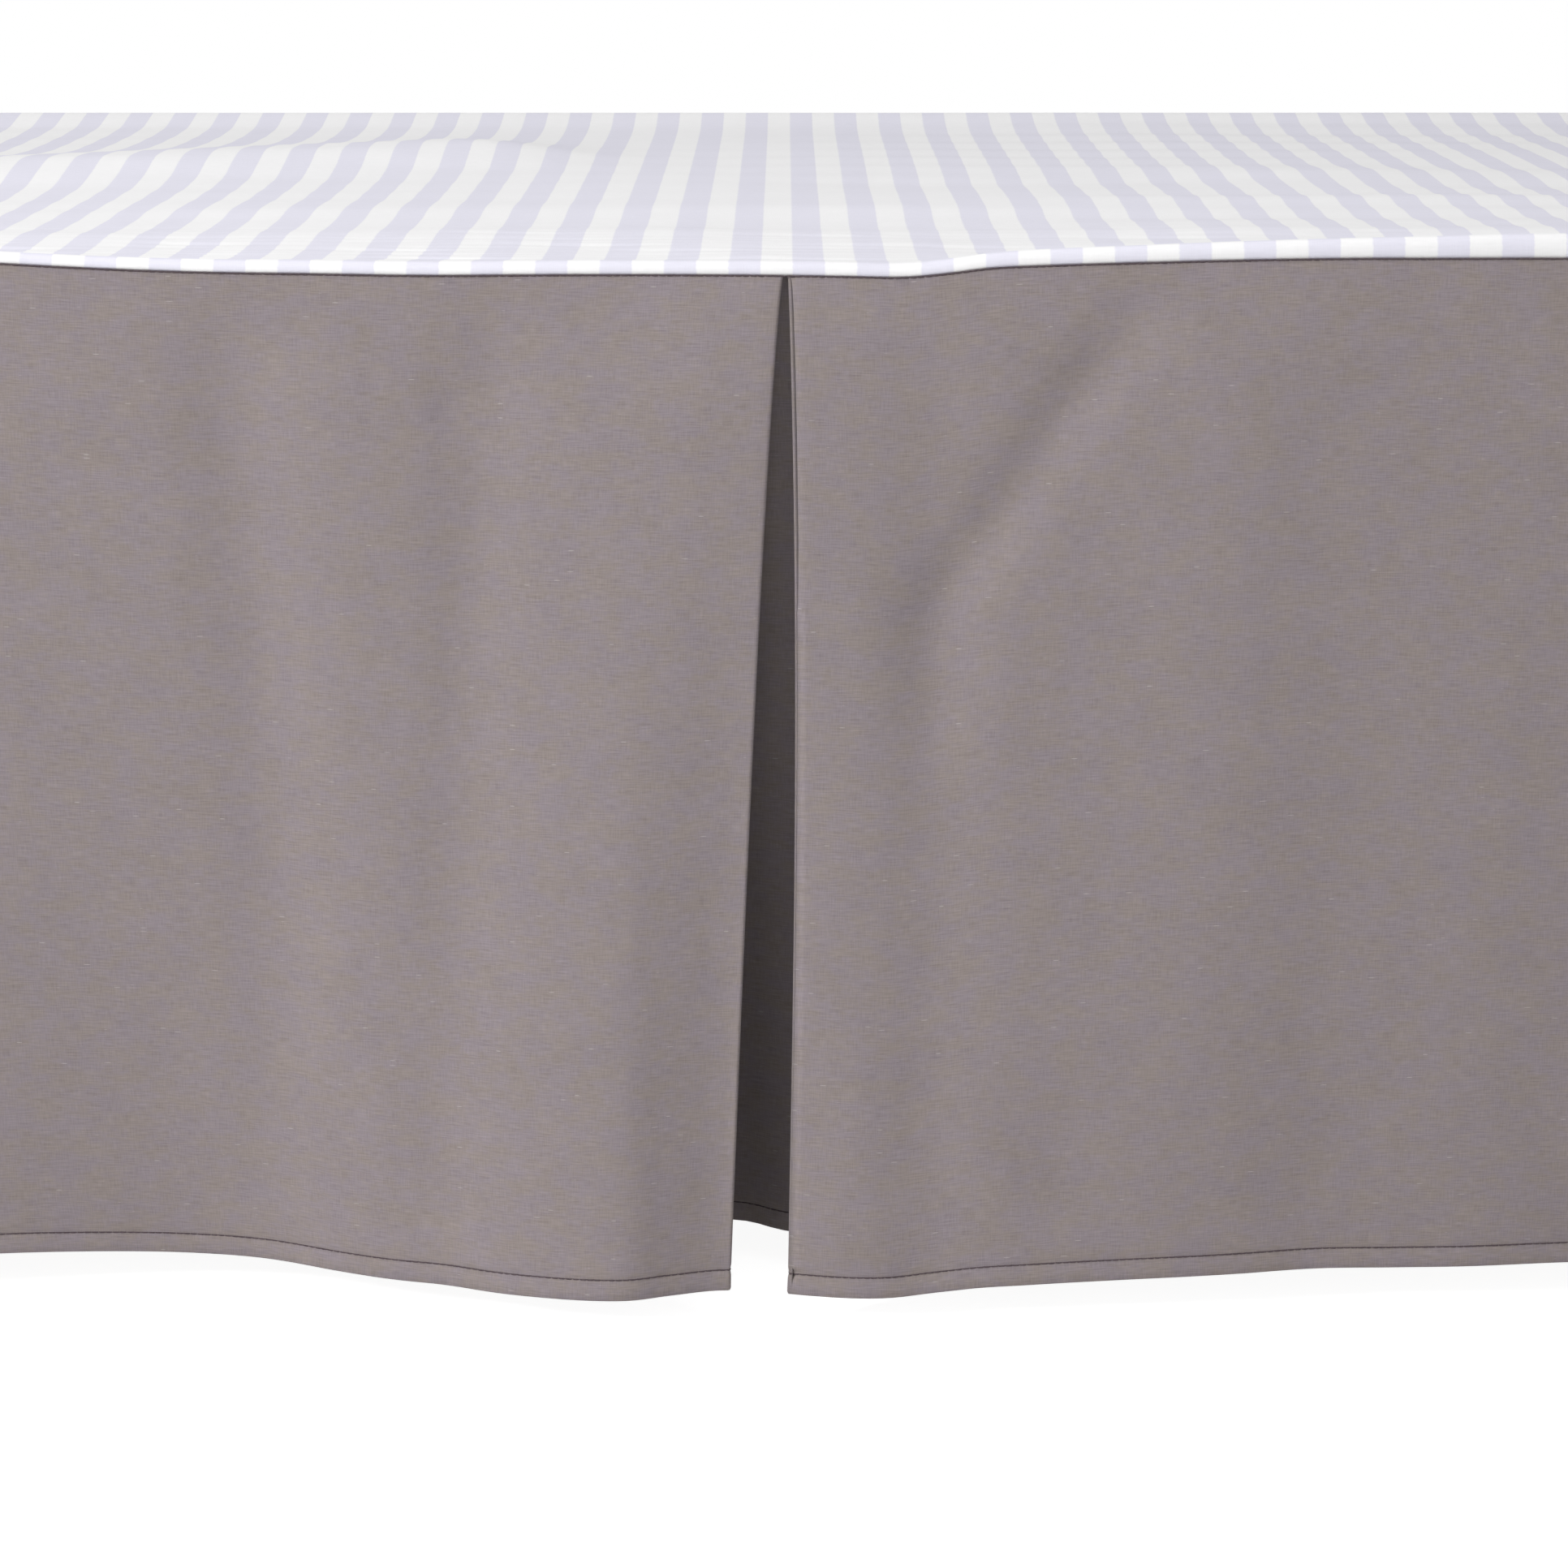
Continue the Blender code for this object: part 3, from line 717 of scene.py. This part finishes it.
# The left half of the pleat: round the panel's fold, along the return, round the outer fold
def halfPleat(foldX, foldDepth, outerDepth, steps):
    radius = pleat["foldRadius"]
    foldCentre = np.stack((foldX - skirt["solidThickness"] / 2 - radius, foldDepth + radius), axis=-1)
    outerCentre = np.stack((np.full_like(foldX, -pleat["returnReach"]), outerDepth), axis=-1)
    run = foldCentre - outerCentre
    turned = math.pi - np.arctan2(-run[..., 1], run[..., 0])
    first = turned * np.linspace(0, 1, steps["fold"] + 1)
    last = turned * np.linspace(1, 0, steps["fold"] + 1)
    foldArc = foldCentre + radius * np.stack((np.sin(first), -np.cos(first)), axis=-1)
    outerArc = outerCentre + radius * np.stack((-np.sin(last), np.cos(last)), axis=-1)
    share = np.linspace(0, 1, steps["return"] + 1)[None, 1:-1, None]
    between = foldArc[:, -1:] + (outerArc[:, :1] - foldArc[:, -1:]) * share
    return np.concatenate((foldArc, between, outerArc), axis=1)


def underlaySection(start, end, level, steps):
    share = np.linspace(0, 1, steps + 1)[None, 1:-1, None]
    chord = start + (end - start) * share
    x = chord[..., 0]
    hemChord = np.interp(x, underlayDepth[0, [0, -1]], underlayDepth[1, [0, -1]])
    bulge = (smoothInterp(x, *underlayDepth) - hemChord) * openShare(level)
    return np.stack((x, chord[..., 1] + bulge), axis=-1)


# Points of a long drop, rows of columns, and each column's share of the underlay's lift
def longSection(levels, steps):
    level = levels[:, None]
    leftFold = -pleat["openLeft"] * level ** pleat["leftPower"]
    rightFold = pleat["openRight"] + pleat["bowRight"] * np.sin(math.pi * level ** pleat["rightPower"])
    end = halfLength - skirt["cornerInset"]
    nearFold = skirt["solidThickness"] / 2 + pleat["foldRadius"] + pleat["beside"]
    panelPlaces = stepped(nearFold, end, steps["panel"])[None]
    left = panelSection(-panelPlaces[:, ::-1], leftFold, level)
    right = panelSection(panelPlaces, rightFold - pleat["openRight"], level)
    stacked = skirt["solidThickness"] / 2 + pleat["stacked"] * pleat["foldRadius"]
    leftOuter, rightOuter = (stacked + deep * openShare(level) for deep in underlayDepth[1, [0, -1]])
    leftHalf = halfPleat(leftFold, panelDepth(leftFold, level), leftOuter, steps)
    mirrored = halfPleat(-rightFold, panelDepth(rightFold, level), rightOuter, steps)
    rightHalf = (mirrored * (-1, 1))[:, ::-1]
    between = underlaySection(leftHalf[:, -1:], rightHalf[:, :1], level, steps["underlay"])
    inward = np.concatenate((np.zeros(steps["fold"]), np.linspace(0, 1, steps["return"] + 1),
                             np.ones(steps["fold"])))
    lifted = np.concatenate((np.zeros(left.shape[1]), inward, np.ones(between.shape[1]), inward[::-1],
                             np.zeros(right.shape[1])))
    return np.concatenate((left, leftHalf, between, rightHalf, right), axis=1), lifted


def sideSection(levels, steps):
    end = halfWidth - skirt["cornerInset"]
    places = stepped(-end, end, steps["panel"])[None]
    depth = skirt["thickness"] / 2 + smoothInterp(places, *sideHem) * sag(levels[:, None])
    x = np.broadcast_to(places, depth.shape)
    return np.stack((x, depth), axis=-1), np.zeros(places.shape[1])


hem = {
    "turnRadius": 0.55 * mm,
    "turnUp": 10.5 * mm,
    "stitchHeight": 8.8 * mm,
    "groove": 0.42 * mm,
    "grooveWidth": 1.3 * mm,
    "puff": 0.25 * mm,
    "tightShare": 0.6,        # the turned-up cloth lies closer in the pleat's folds
    "tightBend": 0.12,        # from column to column, where a fold counts as tight
    "tightReach": 5,          # columns
}
# In mm, and in half turns for the arc
topRows = (0, 0.7, 1.5, 3, 5.5, 9)
stitchRows = (-5, -2.6, -1.2, 0, 1.2, 2.6, 5)
turnedUpRows = (2.5, 5.5, 8.0, 10.5)
turnArc = (0.35, 0.7, 1.0)


# Distances down a drop, closer together at the seam and at the hem
def dropLevels(step):
    top = np.array(topRows) * mm
    low = np.array(stitchRows) * mm + (skirt["drop"] - hem["stitchHeight"])
    last = skirt["drop"] - hem["turnRadius"]
    middle = stepped(top[-1], low[0], step)[1:-1]
    return np.concatenate((top, middle, low, (last,)))


def makeDrop(side, node, section, steps, seam, reach, turn):
    down = dropLevels(steps["level"])
    plan, lifted = section(down / skirt["drop"], steps)
    seamHeight = seam(plan[0, :, 0])[None]
    lift = pleat["lift"] * (down / skirt["drop"])[:, None] * lifted
    height = seamHeight - skirt["seamGap"] - down[:, None] + lift
    along = np.gradient(plan, axis=1)
    along /= np.linalg.norm(along, axis=-1, keepdims=True)
    inward = np.stack((-along[..., 1], along[..., 0]), axis=-1)   # towards the cloth's wrong side
    fromStitch = down - (skirt["drop"] - hem["stitchHeight"])
    groove = hem["groove"] * np.exp(-(fromStitch / hem["grooveWidth"]) ** 2)
    puff = hem["puff"] * np.clip(fromStitch / hem["stitchHeight"], 0, 1)
    plan = plan + inward * (groove - puff)[:, None, None]
    arc = np.array(turnArc) * math.pi
    bottom = height[-1:]
    turnOut = hem["turnRadius"] * (1 - np.cos(arc))
    turnDown = -hem["turnRadius"] * np.sin(arc)
    up = np.array(turnedUpRows) * mm
    hemOut = np.concatenate((turnOut, np.full(len(up), 2 * hem["turnRadius"])))
    hemUp = np.concatenate((turnDown, up))
    bend = np.linalg.norm(np.gradient(inward[-1], axis=0), axis=-1)
    tight = np.convolve(bend > hem["tightBend"], np.ones(hem["tightReach"]), mode="same") > 0
    room = np.where(tight, hem["tightShare"], 1.0)[None, :, None]
    # The turned-up cloth follows the drop in front of it
    beside = np.clip(down[-1] - hemUp, 0, down[-1])
    row = np.clip(np.searchsorted(down, beside), 1, len(down) - 1)
    share = ((beside - down[row - 1]) / (down[row] - down[row - 1]))[:, None, None]
    hemPlan = plan[row - 1] * (1 - share) + plan[row] * share + inward[-1:] * hemOut[:, None, None] * room
    allPlan = np.concatenate((plan, hemPlan))
    allHeight = np.concatenate((height, bottom + hemUp[:, None]))
    places = np.concatenate((allPlan[..., :1], allPlan[..., 1:] - reach, allHeight[..., None]), axis=-1)
    turned = np.array(((math.cos(turn), math.sin(turn)), (-math.sin(turn), math.cos(turn))))
    places[..., :2] = places[..., :2] @ turned
    u = np.concatenate(((0,), np.cumsum(np.linalg.norm(np.diff(plan[0], axis=0), axis=-1))))
    v = np.concatenate((down, skirt["drop"] + np.concatenate((arc * hem["turnRadius"], up))))
    cloth = np.stack(np.meshgrid(u - u[-1] / 2, v), axis=-1)
    mesh = clothMesh(f"drop{side}Cloth", places[::-1], cloth[::-1])
    piece = addPiece(f"drop{side}Cloth", mesh, looks["greyCotton"], "grey_cotton", node)
    thicken(piece)
    wrongSide = np.concatenate((inward @ turned, np.zeros(height.shape + (1,))), axis=-1)
    half = skirt["thickness"] / 2
    sewn = np.argmin(abs(fromStitch))
    ends = [np.argmin(abs(u - place)) for place in (hem["stitchHeight"], u[-1] - hem["stitchHeight"])]
    behind = 2 * hem["turnRadius"] * room[0] + half
    lines = [sewLine(places[sewn] - wrongSide[sewn] * half, -wrongSide[sewn], 5),
             sewLine(places[sewn] + wrongSide[sewn] * behind, wrongSide[sewn], 6)]
    for end in ends:
        lines.append(sewLine(places[:len(down), end] - wrongSide[:, end] * half, -wrongSide[:, end], 7))
    seamX = stepped(plan[0, 0, 0], plan[0, -1, 0], stitch["seamStep"])
    seamZ = seam(seamX) - stitch["underSeam"] * skirt["seamGap"]
    seamLine = np.stack((seamX, np.full_like(seamX, -reach), seamZ), axis=-1)
    outward = np.tile((0.0, -1.0, 0.0), (len(seamX), 1))
    seamLine[:, :2], outward[:, :2] = seamLine[:, :2] @ turned, outward[:, :2] @ turned
    lines.append(sewLine(seamLine, outward, 8))
    stitches = addStitches(f"hemStitches{side}", lines)


makeDeck()
print("deck made")
frontSteps = {"panel": 4.4 * mm, "level": 4.6 * mm, "fold": 6, "return": 16, "underlay": 32}
backSteps = {"panel": 6.5 * mm, "level": 7.0 * mm, "fold": 4, "return": 8, "underlay": 16}
sideSteps = {"panel": 5.5 * mm, "level": 6.5 * mm}
makeDrop("Front", "drop_front", longSection, frontSteps, frontSeam, halfWidth, 0.0)
makeDrop("Back", "drop_back", longSection, backSteps, backSeam, halfWidth, math.pi)
makeDrop("Right", "drop_right", sideSection, sideSteps, rightSeam, halfLength, math.pi / 2)
makeDrop("Left", "drop_left", sideSection, sideSteps, leftSeam, halfLength, -math.pi / 2)
print("drops made")


# Base: padded top, boxed frame and turned legs

padding = {
    "height": 45 * mm,
    "round": 12 * mm,
    "roundSteps": 5,
    "gap": 2.4 * mm,          # below the top face of the deck's cloth
    "step": 18 * mm,
    "sharpFrom": 50,          # degrees
}


def makePadding():
    low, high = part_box("base_pad")
    innerX, innerY = high.x - padding["round"], high.y - padding["round"]
    bm = bmesh.new()
    columns, rows = round(2 * innerX / padding["step"]), round(2 * innerY / padding["step"])
    bmesh.ops.create_grid(bm, x_segments=columns, y_segments=rows, size=1.0)
    for vert in bm.verts:
        vert.co.x *= high.x
        vert.co.y *= high.y
    rim = [edge for edge in bm.edges if edge.is_boundary]
    walls = bmesh.ops.extrude_edge_only(bm, edges=rim)["geom"]
    lowered = [item for item in walls if isinstance(item, bmesh.types.BMVert)]
    bmesh.ops.translate(bm, verts=lowered, vec=(0, 0, -padding["height"]))
    underside = [edge for edge in bm.edges if edge.is_boundary]
    bmesh.ops.contextual_create(bm, geom=underside)
    bmesh.ops.bevel(bm, geom=rim, offset=padding["round"], offset_type="OFFSET",
                    segments=padding["roundSteps"], profile=0.5, affect="EDGES", material=-1,
                    clamp_overlap=True)
    bmesh.ops.recalc_face_normals(bm, faces=bm.faces)
    for vert in bm.verts:
        x, y = np.array([vert.co.x]), np.array([vert.co.y])
        top = float(deckRest(x, y)[0]) - padding["gap"]
        share = 1 + vert.co.z / padding["height"]
        vert.co.z = low.z + (top - low.z) * share
    mesh = bpy.data.meshes.new("basePadding")
    bm.to_mesh(mesh)
    bm.free()
    mesh.shade_smooth()
    mesh.set_sharp_from_angle(angle=math.radians(padding["sharpFrom"]))
    piece = addPiece("basePadding", mesh, looks["whiteTicking"], "white_ticking", "base_pad")


makePadding()
for name, node in nodes.items():
    if name.startswith("leg_") or name == "base_box":
        node.data.materials.clear()
        node.data.materials.append(looks["woodAlong" if name == "base_box" else "woodUpright"])
print("base made")


# Floor, light and camera

room = {
    "floorSize": 8.0,
    "floorColour": (0.93, 0.93, 0.93, 1),
    "floorRoughness": 0.95,
    "floorGlow": 0.93,        # only as the camera sees it
    "skyStrength": 0.20,
    "keyPlace": (-2.7, -2.3, 2.1),
    "keySize": 1.0,
    "keyPower": 87.0,
    "fillPlace": (1.6, -2.6, 1.6),
    "fillSize": 2.0,
    "fillPower": 5.0,
    "topPlace": (-0.4, -0.9, 2.8),
    "topSize": 2.6,
    "topPower": 38.5,
    "backPlace": (1.4, 3.0, 1.5),
    "backSize": 2.4,
    "backPower": 14.0,
    "aim": (0.0, -0.2, 0.25),
    "lens": 85.0,
    "sensor": 36.0,
    "tilt": 14.83,
    "away": 1.463,
    "above": 0.175,
}


def makeFloor():
    bm = bmesh.new()
    bmesh.ops.create_grid(bm, x_segments=1, y_segments=1, size=room["floorSize"] / 2)
    mesh = bpy.data.meshes.new("floor")
    bm.to_mesh(mesh)
    bm.free()
    floor = bpy.data.objects.new("floor", mesh)
    bpy.context.scene.collection.objects.link(floor)
    look, n, shader = newLook("paleFloor", room["floorRoughness"])
    shader.inputs["Base Color"].default_value = room["floorColour"]
    shader.inputs["Emission Color"].default_value = (1, 1, 1, 1)
    seen = n.add("ShaderNodeLightPath").outputs["Is Camera Ray"]
    n.tree.links.new(n.maths("MULTIPLY", seen, room["floorGlow"]), shader.inputs["Emission Strength"])
    mesh.materials.append(look)


def makeSky():
    world = bpy.data.worlds.new("studio")
    bpy.context.scene.world = world
    world.use_nodes = True
    n = NodeHelper(world.node_tree)
    background = world.node_tree.nodes["Background"]
    background.inputs["Color"].default_value = (1, 1, 1, 1)
    seen = n.add("ShaderNodeLightPath").outputs["Is Camera Ray"]
    strength = n.remap(seen, 0.0, 1.0, room["skyStrength"], 1.0, smooth=False)
    world.node_tree.links.new(strength, background.inputs["Strength"])


def makeLight(name, place, size, power):
    data = bpy.data.lights.new(name, "AREA")
    data.shape = "DISK"
    data.size = size
    data.energy = power
    light = bpy.data.objects.new(name, data)
    light.location = place
    towards = np.array(room["aim"]) - np.array(place)
    flat = math.hypot(towards[0], towards[1])
    heading = math.atan2(towards[1], towards[0]) - math.pi / 2
    light.rotation_euler = (math.atan2(flat, -towards[2]), 0, heading)
    bpy.context.scene.collection.objects.link(light)


def makeCamera():
    data = bpy.data.cameras.new("camera")
    data.lens = room["lens"]
    data.sensor_width = room["sensor"]
    camera = bpy.data.objects.new("camera", data)
    camera.location = (0, -halfWidth - room["away"], skirt["seamLevel"] + room["above"])
    camera.rotation_euler = (math.radians(90 - room["tilt"]), 0, 0)
    bpy.context.scene.collection.objects.link(camera)
    bpy.context.scene.camera = camera


makeFloor()
makeSky()
for part in ("key", "fill", "top", "back"):
    makeLight(part + "Light", room[part + "Place"], room[part + "Size"], room[part + "Power"])
makeCamera()
bpy.context.scene.view_settings.view_transform = "Standard"
print("studio made")
